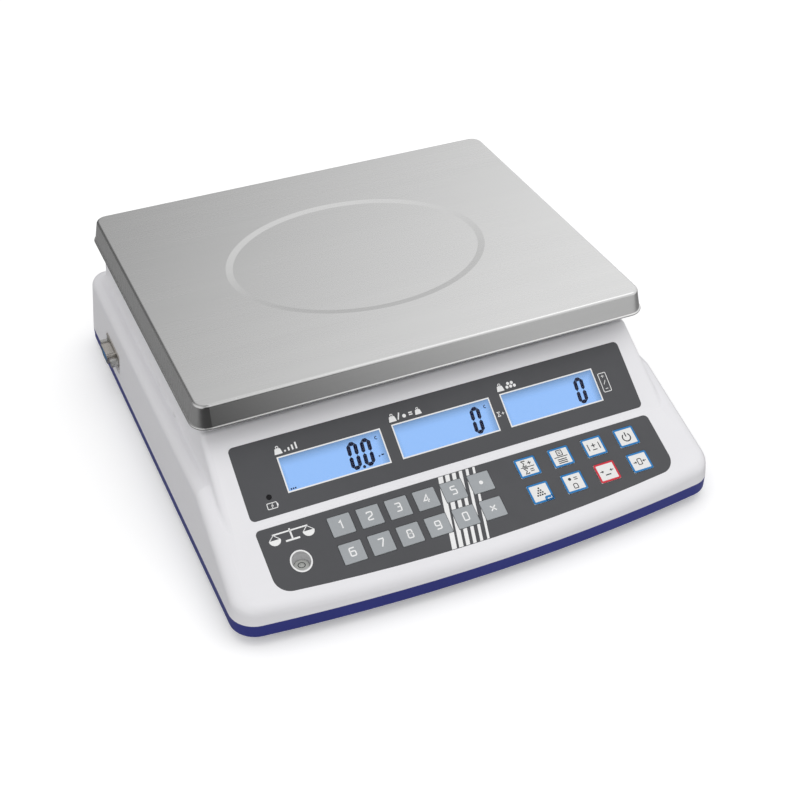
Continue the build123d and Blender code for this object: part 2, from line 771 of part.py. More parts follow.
def bolt(x, y, head_at, tip_at, radius=BOLT_R, head_r=BOLT_HEAD_R):
    """Bolt with its head beyond head_at and its shank from there to tip_at."""
    way = 1 if tip_at > head_at else -1
    low, high = sorted((head_at, tip_at))
    head_low, head_high = sorted((head_at, head_at - way * BOLT_HEAD))
    return rod(x, y, low, high, radius) + rod(x, y, head_low, head_high, head_r)


def frame_bolts():
    """Two bolts through the load cell's fixed end, and four overload stop screws."""
    bolts = [bolt(x, y, FRAME_LOW, CELL_HIGH - BOLT_SHORT) for x, y in cell_places(-1)]
    return bolts + [rod(x, y, FRAME_LOW, PLATE_LOW - STOP_GAP, BOLT_R) for x, y in stop_places()]


def platform_plate():
    """Plate over the load cell, with the block that meets its live end."""
    half_x, half_y = PLATE_HALF
    right = half_x + PLATE_OVERHANG
    plate = block(-half_x, right, PAN_Y - half_y, PAN_Y + half_y, PLATE_LOW, PLATE_HIGH)
    plate = fillet(plate.edges().filter_by(Axis.Z), PLATE_CORNER)
    x1 = CELL_HALF[0]
    y0 = PAN_Y - CELL_HALF[1]
    y1 = PAN_Y + CELL_HALF[1]
    plate += block(x1 - PAD_BLOCK, x1, y0, y1, CELL_HIGH, PLATE_LOW)
    for x, y in cell_places(1):
        plate -= rod(x, y, CELL_HIGH - PAST, PLATE_HIGH + PAST, BOLT_R)
    return plate - rod(0, PAN_Y, PLATE_LOW - PAST, PLATE_HIGH + PAST, BOLT_R)


def platform_bolts():
    bolts = [bolt(x, y, PLATE_HIGH, CELL_LOW + BOLT_SHORT) for x, y in cell_places(1)]
    bolts.append(bolt(0, PAN_Y, PLATE_LOW, PLATE_HIGH + POST_BOLT))
    return bolts


def spider_ends():
    for sx in (-1, 1):
        for sy in (-1, 1):
            yield sx * SPIDER_REACH[0], PAN_Y + sy * SPIDER_REACH[1]


def spider():
    """Post through the housing and the four arms under the pan."""
    frame = rod(0, PAN_Y, PLATE_HIGH, SPIDER_LOW, POST_R)
    frame += rod(0, PAN_Y, SPIDER_LOW, SPIDER_HIGH, SPIDER_HUB_R)
    reach = 2 * math.hypot(*SPIDER_REACH)
    angle = math.degrees(math.atan2(SPIDER_REACH[1], SPIDER_REACH[0]))
    middle = (SPIDER_LOW + SPIDER_HIGH) / 2
    arm = Box(reach, SPIDER_ARM, SPIDER_HIGH - SPIDER_LOW)
    for turn in (angle, -angle):
        frame += Pos(0, PAN_Y, middle) * Rot(0, 0, turn) * arm
    for x, y in spider_ends():
        frame += rod(x, y, SPIDER_LOW, SPIDER_HIGH, SPIDER_END_R)
    return frame - rod(0, PAN_Y, PLATE_HIGH - PAST, PLATE_HIGH + POST_BOLT, BOLT_R)


def spider_pads():
    return [rod(x, y, SPIDER_HIGH, HEIGHT - PAN_SHEET, PAD_R) for x, y in spider_ends()]


def pan_solid(inset, top):
    """Inverted tray as one mass: flared sides, inset for its inner face."""
    lip = HEIGHT - PAN_LIP
    flare = math.degrees(math.atan2(PAN_FLARE, PAN_LIP))
    wide = PAN_WIDTH - 2 * inset
    sketch = RectangleRounded(wide, PAN_DEPTH - 2 * inset, PAN_CORNER - inset)
    solid = Pos(0, PAN_Y, lip) * extrude(sketch, top - lip, taper=flare)
    return fillet(solid.edges().group_by(Axis.Z)[-1], PAN_EDGE - inset)


def pressed_oval(level):
    """Oval slug that sinks from this level, with sloped sides."""
    long, short = EMBOSS_R
    wide = Pos(0, PAN_Y, level) * Ellipse(long, short)
    narrow = Pos(0, PAN_Y, level - EMBOSS_SINK) * Ellipse(long - EMBOSS_SLOPE, short - EMBOSS_SLOPE)
    return loft([wide, narrow])


def pan_hem():
    """Half-round bead along the lower edge of the skirt."""
    sketch = RectangleRounded(PAN_WIDTH, PAN_DEPTH, PAN_CORNER)
    hem = Pos(0, PAN_Y, HEIGHT - PAN_LIP) * extrude(sketch, HEM_TALL)
    low = hem.edges().group_by(Axis.Z)[0]
    high = hem.edges().group_by(Axis.Z)[-1]
    return fillet(low + high, HEM_ROUND)


def pan():
    """Drawn tray with a rolled hem and a shallow pressed oval that also shows on its underside."""
    tray = pan_solid(HEM_OUT, HEIGHT) + pan_hem()
    tray -= pan_solid(HEM_OUT + PAN_SHEET, HEIGHT - PAN_SHEET)
    tray += pressed_oval(HEIGHT - PAN_SHEET)
    return tray - pressed_oval(HEIGHT)


def foot_shoe(x, y):
    shoe = rod(x, y, 0, SHOE_TOP, SHOE_R)
    shoe = chamfer(shoe.edges().group_by(Axis.Z)[0], SHOE_CHAMFER)
    return shoe - rod(x, y, SPIGOT_LOW - RUN_GAP, SHOE_TOP + PAST, SPIGOT_R + RUN_GAP)


def foot_stud(x, y):
    stud = rod(x, y, WHEEL_LOW, WHEEL_HIGH, WHEEL_R)
    stud = chamfer(stud.edges(), WHEEL_CHAMFER)
    stud += rod(x, y, SPIGOT_LOW, WHEEL_LOW, SPIGOT_R)
    return stud + rod(x, y, WHEEL_HIGH, STUD_TOP, STUD_R)


def foot_inserts():
    rings = []
    for _, x, y in foot_places():
        ring = rod(x, y, BASE_BOTTOM + RUN_GAP, BOSS_TOP, INSERT_OUT_R)
        rings.append(ring - rod(x, y, 0, BOSS_TOP + PAST, INSERT_R))
    return rings


def housing_screws():
    screws = []
    for x, y in screw_places():
        screw = rod(x, y, SCREW_HEAD_LOW, SCREW_HEAD_HIGH, SCREW_HEAD_R)
        screws.append(screw + rod(x, y, SCREW_HEAD_HIGH, SCREW_TOP, SCREW_R))
    return screws


def battery_pack():
    length, width, tall = BATTERY
    low = BASE_BOTTOM + DOOR[2] + BATTERY_GAP
    pack = Pos(BATTERY_X, BATTERY_Y, low + tall / 2) * Box(length, width, tall)
    return fillet(pack.edges().filter_by(Axis.Z), BATTERY_CORNER)


def battery_cover():
    """Flat door with finger grooves across one end."""
    length, width, thick = DOOR
    cover = Pos(BATTERY_X, BATTERY_Y, BASE_BOTTOM + thick / 2) * Box(length, width, thick)
    long, wide, deep = DOOR_GRIP
    for step in range(DOOR_GRIPS):
        x = BATTERY_X + DOOR_GRIP_X - step * DOOR_GRIP_PITCH
        cover -= Pos(x, BATTERY_Y, BASE_BOTTOM) * Box(wide, long, 2 * deep)
    return cover


def main():
    save("upper_housing", upper_housing())
    save("lower_housing", lower_housing())
    save("display_overlay", display_overlay())
    save("keypad_overlay", keypad_overlay())
    save("window_lenses", Compound(window_lenses()))
    for name, module in zip(("lcd_weight", "lcd_unit_weight", "lcd_count"), lcd_modules()):
        save(name, module)
    save("backlights", Compound(backlights()))
    save("display_board", display_board())
    save("keypad_board", keypad_board())
    save("key_domes", Compound(key_domes()))
    for name, x, v, size in key_centres():
        save(name, key(x, v, size))
    save("charge_led", charge_led())
    save("level_cup", level_cup())
    save("level_vial", level_vial())
    save("serial_shell", serial_shell())
    save("serial_insulator", serial_insulator())
    save("serial_jackscrews", Compound(serial_jackscrews()))
    save("adapter_inlet", Compound([adapter_inlet(), adapter_pin()]))
    save("main_board", main_board())
    save("base_frame", base_frame())
    save("load_cell", load_cell())
    save("frame_bolts", Compound(frame_bolts()))
    save("platform_plate", platform_plate())
    save("platform_bolts", Compound(platform_bolts()))
    save("spider", spider())
    save("spider_pads", Compound(spider_pads()))
    save("pan", pan())
    for number, x, y in foot_places():
        save(f"foot_{number}_shoe", foot_shoe(x, y))
        save(f"foot_{number}_stud", foot_stud(x, y))
    save("foot_inserts", Compound(foot_inserts()))
    save("housing_screws", Compound(housing_screws()))
    save("battery_pack", battery_pack())
    save("battery_cover", battery_cover())


if __name__ == "__main__":
    main()
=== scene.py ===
import json
import math

import bmesh
import bpy
from mathutils import Matrix, Vector


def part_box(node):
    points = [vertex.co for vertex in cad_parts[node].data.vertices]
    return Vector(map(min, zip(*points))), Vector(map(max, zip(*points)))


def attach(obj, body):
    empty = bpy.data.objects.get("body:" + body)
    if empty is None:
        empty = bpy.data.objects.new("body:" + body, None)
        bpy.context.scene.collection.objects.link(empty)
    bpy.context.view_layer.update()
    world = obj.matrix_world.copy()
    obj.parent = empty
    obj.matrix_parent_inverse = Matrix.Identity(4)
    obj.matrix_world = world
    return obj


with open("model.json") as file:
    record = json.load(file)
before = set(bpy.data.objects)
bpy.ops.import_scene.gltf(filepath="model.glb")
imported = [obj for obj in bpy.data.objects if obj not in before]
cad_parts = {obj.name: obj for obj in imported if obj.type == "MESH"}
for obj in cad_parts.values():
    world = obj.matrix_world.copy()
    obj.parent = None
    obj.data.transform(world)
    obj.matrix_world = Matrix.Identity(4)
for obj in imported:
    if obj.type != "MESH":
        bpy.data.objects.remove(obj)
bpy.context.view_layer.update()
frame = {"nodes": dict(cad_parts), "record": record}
NODES = frame["nodes"]
MM = 0.001

# ---------------------------------------------------------------- sloped faces


class Slope:
    """A sloped face in millimetres: x across it, y up it, z out of it. Its origin is the middle of
    the film's upper edge, on the film's surface."""

    def __init__(self, film):
        mesh = NODES[film].data
        widest = max(mesh.polygons, key=lambda p: p.area)
        out = widest.normal if widest.normal.z > 0 else -widest.normal
        across = Vector((1, 0, 0))
        turn = Matrix((across, out.cross(across), out)).transposed().to_4x4()
        self.matrix = turn @ Matrix.Scale(MM, 4)
        low, high = self.spread(film)
        corner = self.matrix @ Vector(((low.x + high.x) / 2, high.y, high.z))
        self.matrix = Matrix.Translation(corner) @ self.matrix

    def spread(self, name):
        """Lowest and highest corner of a CAD node along this slope's own axes."""
        back = self.matrix.inverted()
        points = [back @ v.co for v in NODES[name].data.vertices]
        low = Vector([min(p[i] for p in points) for i in range(3)])
        high = Vector([max(p[i] for p in points) for i in range(3)])
        return low, high

    def at(self, x, y, z=0.0):
        """This slope's axes, moved to a point on it."""
        return self.matrix @ Matrix.Translation((x, y, z))


DISPLAY = Slope("display_overlay")
KEYPAD = Slope("keypad_overlay")

# ---------------------------------------------------------------- flat artwork, in millimetres


def bend(points, radius, closed=False, steps=4):
    """The line with each corner rounded."""
    count = len(points)
    made = []
    for i, point in enumerate(points):
        if not closed and i in (0, count - 1):
            made.append(point)
            continue
        here = Vector(point)
        before = Vector(points[i - 1]) - here
        after = Vector(points[(i + 1) % count]) - here
        reach = min(radius, before.length * 0.49, after.length * 0.49)
        start = here + before.normalized() * reach
        end = here + after.normalized() * reach
        for step in range(steps + 1):
            t = step / steps
            made.append(tuple(start * (1 - t) ** 2 + here * 2 * t * (1 - t) + end * t * t))
    return made


def stroke(points, width, closed=False):
    """Quads of a line of this width, with mitred corners."""
    count = len(points)
    sides = []
    for i in range(count):
        here = Vector(points[i])
        before = Vector(points[i - 1]) if closed or i > 0 else None
        after = Vector(points[(i + 1) % count]) if closed or i < count - 1 else None
        into = (here - before).normalized() if before is not None else (after - here).normalized()
        away = (after - here).normalized() if after is not None else into
        along = (into + away).normalized()
        across = Vector((-along.y, along.x))
        half = width / 2 / max(0.5, across.dot(Vector((-into.y, into.x))))
        sides.append((tuple(here + across * half), tuple(here - across * half)))
    last = count if closed else count - 1
    return [[sides[i][0], sides[i][1], sides[(i + 1) % count][1], sides[(i + 1) % count][0]]
            for i in range(last)]


def disc(x, y, radius, steps=24):
    return [[(x + radius * math.cos(math.tau * i / steps), y + radius * math.sin(math.tau * i / steps))
             for i in range(steps)]]


def arc(x, y, radius, start, end, steps=20):
    """Points on part of a circle, angles in degrees."""
    angles = [math.radians(start + (end - start) * i / steps) for i in range(steps + 1)]
    return [(x + radius * math.cos(a), y + radius * math.sin(a)) for a in angles]


def box(x0, y0, x1, y1):
    return [(x0, y0), (x1, y0), (x1, y1), (x0, y1)]


def outline(x0, y0, x1, y1, width, radius=0.0):
    """Rectangular line inside these limits."""
    half = width / 2
    loop = box(x0 + half, y0 + half, x1 - half, y1 - half)
    if radius:
        loop = bend(loop, radius, closed=True)
    return stroke(loop, width, closed=True)


def shift(faces, x, y, scale=1.0):
    return [[(x + px * scale, y + py * scale) for px, py in face] for face in faces]


def clip(face, nx, ny, limit):
    """The part of a convex face where nx * x + ny * y is at most limit."""
    made = []
    for i, point in enumerate(face):
        other = face[(i + 1) % len(face)]
        a = nx * point[0] + ny * point[1] - limit
        b = nx * other[0] + ny * other[1] - limit
        if a <= 0:
            made.append(point)
        if a * b < 0:
            t = a / (a - b)
            made.append(tuple(p + (o - p) * t for p, o in zip(point, other)))
    return made


# ---------------------------------------------------------------- mesh pieces


def finish_piece(name, bm, body, material, smooth=False):
    mesh = bpy.data.meshes.new(name)
    bm.to_mesh(mesh)
    bm.free()
    mesh.materials.append(material)
    for polygon in mesh.polygons:
        polygon.use_smooth = smooth
    piece = bpy.data.objects.new(name, mesh)
    bpy.context.scene.collection.objects.link(piece)
    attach(piece, body)
    return piece


def add_prism(bm, faces, matrix, low, high):
    """Closed plates between two heights, one for each patch of touching faces."""
    start = len(bm.verts)
    made = [bm.faces.new([bm.verts.new((x, y, low)) for x, y in face]) for face in faces]
    bm.verts.ensure_lookup_table()
    bmesh.ops.remove_doubles(bm, verts=bm.verts[start:], dist=1e-4)
    made = [f for f in made if f.is_valid]
    grown = bmesh.ops.extrude_face_region(bm, geom=made, use_keep_orig=True)
    raised = [v for v in grown["geom"] if isinstance(v, bmesh.types.BMVert)]
    bmesh.ops.translate(bm, verts=raised, vec=(0, 0, high - low))
    bm.verts.ensure_lookup_table()
    fresh = bm.verts[start:]
    bmesh.ops.recalc_face_normals(bm, faces=list({f for v in fresh for f in v.link_faces}))
    bmesh.ops.transform(bm, matrix=matrix, verts=fresh)


PRINT_LOW = -0.02
PRINT_HIGH = 0.03


def print_on(name, slope_matrix, groups, body, material, low=PRINT_LOW, high=PRINT_HIGH):
    """Printed artwork: a list of patches, each a list of faces, on a sloped face."""
    bm = bmesh.new()
    for faces in groups:
        add_prism(bm, faces, slope_matrix, low, high)
    return finish_piece(name, bm, body, material)


def lathe(bm, profile, matrix, steps=48):
    """Turned solid from (radius, height) points, first and last on the axis or a closed ring."""
    rings = []
    for radius, height in profile:
        if radius < 1e-6:
            rings.append([bm.verts.new(matrix @ Vector((0, 0, height)))])
        else:
            rings.append([bm.verts.new(matrix @ Vector((radius * math.cos(math.tau * i / steps),
                                                        radius * math.sin(math.tau * i / steps), height)))
                          for i in range(steps)])
    for lower, upper in zip(rings, rings[1:]):
        for i in range(steps):
            j = (i + 1) % steps
            corners = [lower[i % len(lower)], lower[j % len(lower)],
                       upper[j % len(upper)], upper[i % len(upper)]]
            corners = list(dict.fromkeys(corners))
            if len(corners) > 2:
                bm.faces.new(corners)


# ---------------------------------------------------------------- procedural materials


def add(tree, kind, inputs=None, **settings):
    """A shader node with its settings, and its inputs as values or links."""
    made = tree.nodes.new(kind)
    for key, value in settings.items():
        setattr(made, key, value)
    for key, value in (inputs or {}).items():
        if isinstance(value, bpy.types.NodeSocket):
            tree.links.new(value, made.inputs[key])
        else:
            made.inputs[key].default_value = value
    return made


def new_material(name):
    material = bpy.data.materials.new(name)
    material.use_nodes = True
    return material, material.node_tree, material.node_tree.nodes["Principled BSDF"]


def noise(tree, where, scale, detail=3.0, rough=0.55):
    made = add(tree, "ShaderNodeTexNoise", {"Vector": where, "Scale": scale, "Detail": detail,
                                            "Roughness": rough})
    return made.outputs["Fac"]


def remap(tree, value, low, high, source=(0.3, 0.7)):
    made = add(tree, "ShaderNodeMapRange", {"Value": value, "From Min": source[0], "From Max": source[1],
                                            "To Min": low, "To Max": high})
    return made.outputs["Result"]


def mix(tree, factor, a, b):
    made = add(tree, "ShaderNodeMix", data_type="RGBA")
    colours = [s for s in made.inputs if s.type == "RGBA"]
    for socket, value in ((made.inputs["Factor"], factor), (colours[0], a), (colours[1], b)):
        if isinstance(value, bpy.types.NodeSocket):
            tree.links.new(value, socket)
        else:
            socket.default_value = value
    return next(s for s in made.outputs if s.type == "RGBA")


def calc(tree, operation, a, b):
    """Arithmetic on two values or links."""
    return add(tree, "ShaderNodeMath", {0: a, 1: b}, operation=operation).outputs[0]


def dot(tree, a, b):
    """How far one direction or place lies along another."""
    return add(tree, "ShaderNodeVectorMath", {0: a, 1: tuple(b)}, operation="DOT_PRODUCT").outputs["Value"]


def stretched(tree, where, scale):
    """Coordinates scaled along each axis."""
    return add(tree, "ShaderNodeMapping", {"Vector": where, "Scale": scale}).outputs["Vector"]


def shade(colour, factor):
    return (*[min(1.0, c * factor) for c in colour[:3]], 1.0)


def moulded(name, colour, rough=0.4, drift=0.04, grain=900.0, bump=0.06, wear=0.0, **constants):
    """Moulded or printed plastic: slow drift of tone, fine grain, varied gloss, paler worn edges."""
    material, tree, bsdf = new_material(name)
    where = add(tree, "ShaderNodeTexCoord").outputs["Object"]
    slow = noise(tree, where, 14.0, 2.0)
    tone = mix(tree, remap(tree, slow, 0.0, 1.0), shade(colour, 1 - drift), shade(colour, 1 + drift))
    if wear:
        edge = add(tree, "ShaderNodeNewGeometry").outputs["Pointiness"]
        tone = mix(tree, remap(tree, edge, 0.0, wear, (0.52, 0.60)), tone, shade(colour, 1.5))
    tree.links.new(tone, bsdf.inputs["Base Color"])
    medium = noise(tree, where, 120.0, 4.0)
    tree.links.new(remap(tree, medium, rough * 0.88, rough * 1.12), bsdf.inputs["Roughness"])
    fine = noise(tree, where, grain, 2.0)
    relief = add(tree, "ShaderNodeBump", {"Height": fine, "Strength": bump, "Distance": 0.0002})
    tree.links.new(relief.outputs["Normal"], bsdf.inputs["Normal"])
    for key, value in constants.items():
        bsdf.inputs[key.replace("_", " ")].default_value = value
    return material


METAL_SPREAD = 0.35


def metal(name, colour, rough=0.3, grain=(60.0, 60.0, 60.0), bump=0.15, cast=0.0):
    """Metal whose grain is noise with its own scale along each axis."""
    material, tree, bsdf = new_material(name)
    where = add(tree, "ShaderNodeTexCoord").outputs["Object"]
    lines = noise(tree, stretched(tree, where, grain), 1.0, 5.0, 0.7)
    cloud = noise(tree, where, 22.0, 3.0)
    tone = mix(tree, remap(tree, cloud, 0.0, 1.0), shade(colour, 0.93), shade(colour, 1.05))
    tree.links.new(tone, bsdf.inputs["Base Color"])
    gloss = remap(tree, lines, rough * (1 - METAL_SPREAD), rough * (1 + METAL_SPREAD))
    tree.links.new(gloss, bsdf.inputs["Roughness"])
    height = lines
    if cast:
        height = noise(tree, where, cast, 6.0, 0.7)
    relief = add(tree, "ShaderNodeBump", {"Height": height, "Strength": bump, "Distance": 0.0003})
    tree.links.new(relief.outputs["Normal"], bsdf.inputs["Normal"])
    bsdf.inputs["Metallic"].default_value = 1.0
    return material


def brushed_pan(name):
    """Stainless sheet brushed along X, with the grain turned on its front and rear skirts."""
    material, tree, bsdf = new_material(name)
    where = add(tree, "ShaderNodeTexCoord").outputs["Object"]
    facing = add(tree, "ShaderNodeSeparateXYZ",
                 {"Vector": add(tree, "ShaderNodeNewGeometry").outputs["Normal"]}).outputs
    front = add(tree, "ShaderNodeMath", {0: facing["Y"]}, operation="ABSOLUTE").outputs[0]
    top = stretched(tree, where, (5.0, 1500.0, 5.0))
    skirt = stretched(tree, where, (5.0, 5.0, 1500.0))
    fine_top = noise(tree, top, 1.0, 3.0, 0.6)
    fine_skirt = noise(tree, skirt, 1.0, 3.0, 0.6)
    share = remap(tree, front, 0.0, 1.0, (0.3, 0.6))
    lines = add(tree, "ShaderNodeMix", {"Factor": share, "A": fine_top, "B": fine_skirt}).outputs["Result"]
    wide = noise(tree, stretched(tree, where, (2.5, 90.0, 260.0)), 1.0, 3.0, 0.6)
    cloud = noise(tree, where, 9.0, 3.0)
    tone = mix(tree, remap(tree, lines, 0.0, 1.0), (0.655, 0.655, 0.652, 1), (0.668, 0.668, 0.668, 1))
    tone = mix(tree, remap(tree, wide, 0.0, 0.30), tone, (0.71, 0.71, 0.706, 1))
    tree.links.new(tone, bsdf.inputs["Base Color"])
    satin = remap(tree, share, 0.27, 0.19, (0.0, 1.0))
    gloss = calc(tree, "ADD", satin, remap(tree, lines, -0.015, 0.015))
    gloss = calc(tree, "ADD", gloss, remap(tree, cloud, -0.02, 0.02))
    tree.links.new(gloss, bsdf.inputs["Roughness"])
    relief = add(tree, "ShaderNodeBump", {"Height": wide, "Strength": 0.03, "Distance": 0.0002})
    tree.links.new(relief.outputs["Normal"], bsdf.inputs["Normal"])
    bsdf.inputs["Metallic"].default_value = 1.0
    return material


def lcd_face(name, low, high):
    """Backlit liquid crystal: pale blue, with painted shade deepening towards its upper and side edges,
    where the bezel's shadow falls.
    """
    material, tree, bsdf = new_material(name)
    where = add(tree, "ShaderNodeTexCoord").outputs["Object"]
    along = DISPLAY.matrix.col[1].to_3d().normalized()
    middle = DISPLAY.matrix @ Vector(((low.x + high.x) / 2, (low.y + high.y) / 2, high.z))
    centred = add(tree, "ShaderNodeVectorMath", {0: where, 1: tuple(middle)},
                  operation="SUBTRACT").outputs["Vector"]
    up = dot(tree, centred, along)
    side = add(tree, "ShaderNodeSeparateXYZ", {"Vector": centred}).outputs["X"]
    half_x = (high.x - low.x) / 2 * MM
    half_y = (high.y - low.y) / 2 * MM
    # Painted shade: the bezel's shadow, strongest along the upper edge, weaker at the right side and weakest
    # at the left.
    top = remap(tree, up, 0.0, 1.0, (half_y - 0.0085, half_y - 0.0012))
    top = calc(tree, "POWER", top, 1.4)
    right = remap(tree, side, 0.0, 0.75, (half_x - 0.0065, half_x - 0.0012))
    left = remap(tree, side, 0.45, 0.0, (-half_x + 0.0012, -half_x + 0.0048))
    edge = calc(tree, "MAXIMUM", calc(tree, "MAXIMUM", right, left), top)
    cells = noise(tree, where, 1500.0, 1.0)
    bright = mix(tree, remap(tree, cells, 0.0, 1.0), (0.285, 0.515, 0.93, 1), (0.31, 0.54, 0.96, 1))
    # The painted bezel shade darkens the glow and the base colour towards these edges.
    tone = mix(tree, edge, bright, (0.13, 0.24, 0.42, 1))
    tree.links.new(tone, bsdf.inputs["Emission Color"])
    tree.links.new(mix(tree, edge, (0.03, 0.05, 0.09, 1), (0.02, 0.03, 0.05, 1)), bsdf.inputs["Base Color"])
    bsdf.inputs["Emission Strength"].default_value = 0.93
    bsdf.inputs["Roughness"].default_value = 0.45
    bsdf.inputs["Specular IOR Level"].default_value = 0.2
    return material


def clear_cover(name):
    """Thin clear window: mostly see-through, with a faint gloss that varies a little."""
    material, tree, bsdf = new_material(name)
    where = add(tree, "ShaderNodeTexCoord").outputs["Object"]
    smear = noise(tree, where, 45.0, 4.0)
    gloss = add(tree, "ShaderNodeBsdfGlossy", {"Roughness": remap(tree, smear, 0.05, 0.16)})
    pass_through = add(tree, "ShaderNodeBsdfTransparent", {"Color": (0.985, 0.99, 1.0, 1.0)})
    facing = add(tree, "ShaderNodeFresnel", {"IOR": 1.25}).outputs[0]
    joined = add(tree, "ShaderNodeMixShader", {0: facing, 1: pass_through.outputs[0], 2: gloss.outputs[0]})
    tree.links.new(joined.outputs[0], tree.nodes["Material Output"].inputs["Surface"])
    tree.nodes.remove(bsdf)
    return material


WHITE = moulded("white_abs", (0.80, 0.795, 0.82), rough=0.36, drift=0.012, grain=1400.0, bump=0.05,
                 wear=0.10)
BLUE = moulded("blue_abs", (0.026, 0.034, 0.215), rough=0.40, drift=0.10, grain=1200.0, bump=0.08, wear=0.15)
FILM = moulded("dark_film", (0.080, 0.081, 0.087), rough=0.50, drift=0.05, grain=2600.0, bump=0.10,
                Specular_IOR_Level=0.25)
GREY_KEY = moulded("grey_key", (0.335, 0.355, 0.372), rough=0.44, drift=0.04, grain=2600.0, bump=0.10,
                    wear=0.2)
WHITE_KEY = moulded("white_key", (0.80, 0.80, 0.79), rough=0.42, drift=0.02, grain=2600.0, bump=0.10)
BLACK_PLASTIC = moulded("black_plastic", (0.018, 0.018, 0.020), rough=0.42, drift=0.15, grain=900.0,
                         bump=0.12, wear=0.3)
CONNECTOR_BLUE = moulded("connector_blue", (0.02, 0.16, 0.40), rough=0.38, drift=0.10, grain=900.0,
                          bump=0.08)
RUBBER = moulded("black_rubber", (0.020, 0.020, 0.021), rough=0.78, drift=0.25, grain=500.0, bump=0.35)
BOARD = moulded("circuit_board", (0.015, 0.11, 0.05), rough=0.35, drift=0.2, grain=300.0, bump=0.12)
DIFFUSER = moulded("backlight", (0.75, 0.80, 0.88), rough=0.5, drift=0.05)
LAMP = moulded("lamp", (0.004, 0.004, 0.005), rough=0.35, drift=0.2, bump=0.02, Specular_IOR_Level=0.2)
LEVEL_BODY = moulded("level_body", (0.47, 0.47, 0.475), rough=0.30, drift=0.06, grain=700.0, bump=0.08)
VIAL = moulded("level_fluid", (0.42, 0.43, 0.41), rough=0.10, drift=0.10, bump=0.02, Coat_Weight=0.8)
INK_WHITE = moulded("ink_white", (0.84, 0.84, 0.84), rough=0.45, drift=0.03, grain=3000.0, bump=0.05)
INK_BLACK = moulded("ink_black", (0.018, 0.020, 0.024), rough=0.45, drift=0.10, grain=3000.0, bump=0.05)
INK_BLUE = moulded("ink_blue", (0.001, 0.175, 0.47), rough=0.45, drift=0.06, grain=3000.0, bump=0.05)
INK_RED = moulded("ink_red", (0.60, 0.012, 0.035), rough=0.45, drift=0.06, grain=3000.0, bump=0.05)
SEGMENT = moulded("lcd_segment", (0.002, 0.006, 0.035), rough=0.6, drift=0.2, bump=0.0,
                   Specular_IOR_Level=0.1)
STEEL = brushed_pan("pan_steel")
NICKEL = metal("nickel_shell", (0.60, 0.57, 0.53), rough=0.26, grain=(900.0, 60.0, 900.0), bump=0.10)
ZINC = metal("zinc_steel", (0.62, 0.62, 0.60), rough=0.30, grain=(300.0, 300.0, 900.0), bump=0.10)
CAST = metal("cast_aluminium", (0.55, 0.56, 0.57), rough=0.50, bump=0.35, cast=420.0)
BEAM = metal("beam_aluminium", (0.72, 0.73, 0.74), rough=0.30, grain=(20.0, 900.0, 900.0))
BRASS = metal("brass_insert", (0.70, 0.50, 0.20), rough=0.30, grain=(600.0, 600.0, 60.0))
SPRING = metal("spring_steel", (0.66, 0.66, 0.66), rough=0.25, grain=(300.0, 300.0, 300.0))
CLEAR = clear_cover("clear_film")

NODE_FINISH = {
    "white_abs": WHITE, "blue_abs": BLUE, "dark_film": FILM, "clear_film": CLEAR, "backlight": DIFFUSER,
    "circuit_board": BOARD, "spring_steel": SPRING, "grey_key": GREY_KEY, "white_key": WHITE_KEY,
    "lamp": LAMP,
    "level_body": LEVEL_BODY, "level_fluid": VIAL, "nickel_shell": NICKEL, "blue_insulator": CONNECTOR_BLUE,
    "black_plastic": BLACK_PLASTIC, "cast_aluminium": CAST, "beam_aluminium": BEAM, "zinc_steel": ZINC,
    "black_rubber": RUBBER, "pan_steel": STEEL, "brass_insert": BRASS,
}

for part in frame["record"]["subparts"]:
    node = NODES[part["node"]]
    if part["material_slot"] == "lcd_glass":
        finish = lcd_face(part["node"] + "_face", *DISPLAY.spread(part["node"]))
    else:
        finish = NODE_FINISH[part["material_slot"]]
    node.data.materials.clear()
    node.data.materials.append(finish)

# ---------------------------------------------------------------- glyphs

# Strokes of each glyph in millimetres about its middle, digits 3.2 wide and 4.8 tall.
W, H = 1.45, 2.3
GLYPHS = {
    "0": [(box(-W, -H, W, H), True)],
    "1": [([(-0.95, H - 1.05), (0.25, H), (0.25, -H)], False)],
    "2": [([(-W, 1.5), (-W, H), (W, H), (W, 0.2), (-W, -1.1), (-W, -H), (W, -H)], False)],
    "3": [([(-W, H), (W, H), (W, 0.15), (-0.5, 0.15)], False), ([(W, 0.15), (W, -H), (-W, -H)], False)],
    "4": [([(0.75, -H), (0.75, H), (-W - 0.2, -0.95), (W + 0.2, -0.95)], False)],
    "5": [([(W, H), (-W, H), (-W, 0.35), (W, 0.35), (W, -H), (-W, -H)], False)],
    "6": [(box(-W, -H, W, 0.35), True), ([(-W, 0.0), (-W, H), (W, H)], False)],
    "7": [([(-W, H), (W, H), (W, 1.4), (-0.35, -H)], False)],
    "8": [(box(-W, -H, W, 0.1), True), (box(-W + 0.15, 0.1, W - 0.15, H), True)],
    "9": [(box(-W, -0.35, W, H), True), ([(W, 0.0), (W, -H), (-W, -H)], False)],
    "sum": [([(W, 1.5), (W, H), (-W, H), (0.3, 0.0), (-W, -H), (W, -H), (W, -1.5)], False)],
    "+": [([(-1.3, 0), (1.3, 0)], False), ([(0, -1.3), (0, 1.3)], False)],
    "-": [([(-1.3, 0), (1.3, 0)], False)],
    "=": [([(-1.3, 0.7), (1.3, 0.7)], False), ([(-1.3, -0.7), (1.3, -0.7)], False)],
    "/": [([(-0.9, -H), (0.9, H)], False)],
}
SHARP = {"1", "4", "7", "sum", "+", "-", "=", "/"}


def glyph(name, x, y, height=4.6, weight=0.62):
    """A glyph's patches, centred at a point."""
    scale = height / (2 * H)
    made = []
    for points, closed in GLYPHS[name]:
        line = points if name in SHARP else bend(points, 0.75, closed)
        made.append(shift(stroke(line, weight / scale, closed), x, y, scale))
    return made


# ---------------------------------------------------------------- printing on the two films

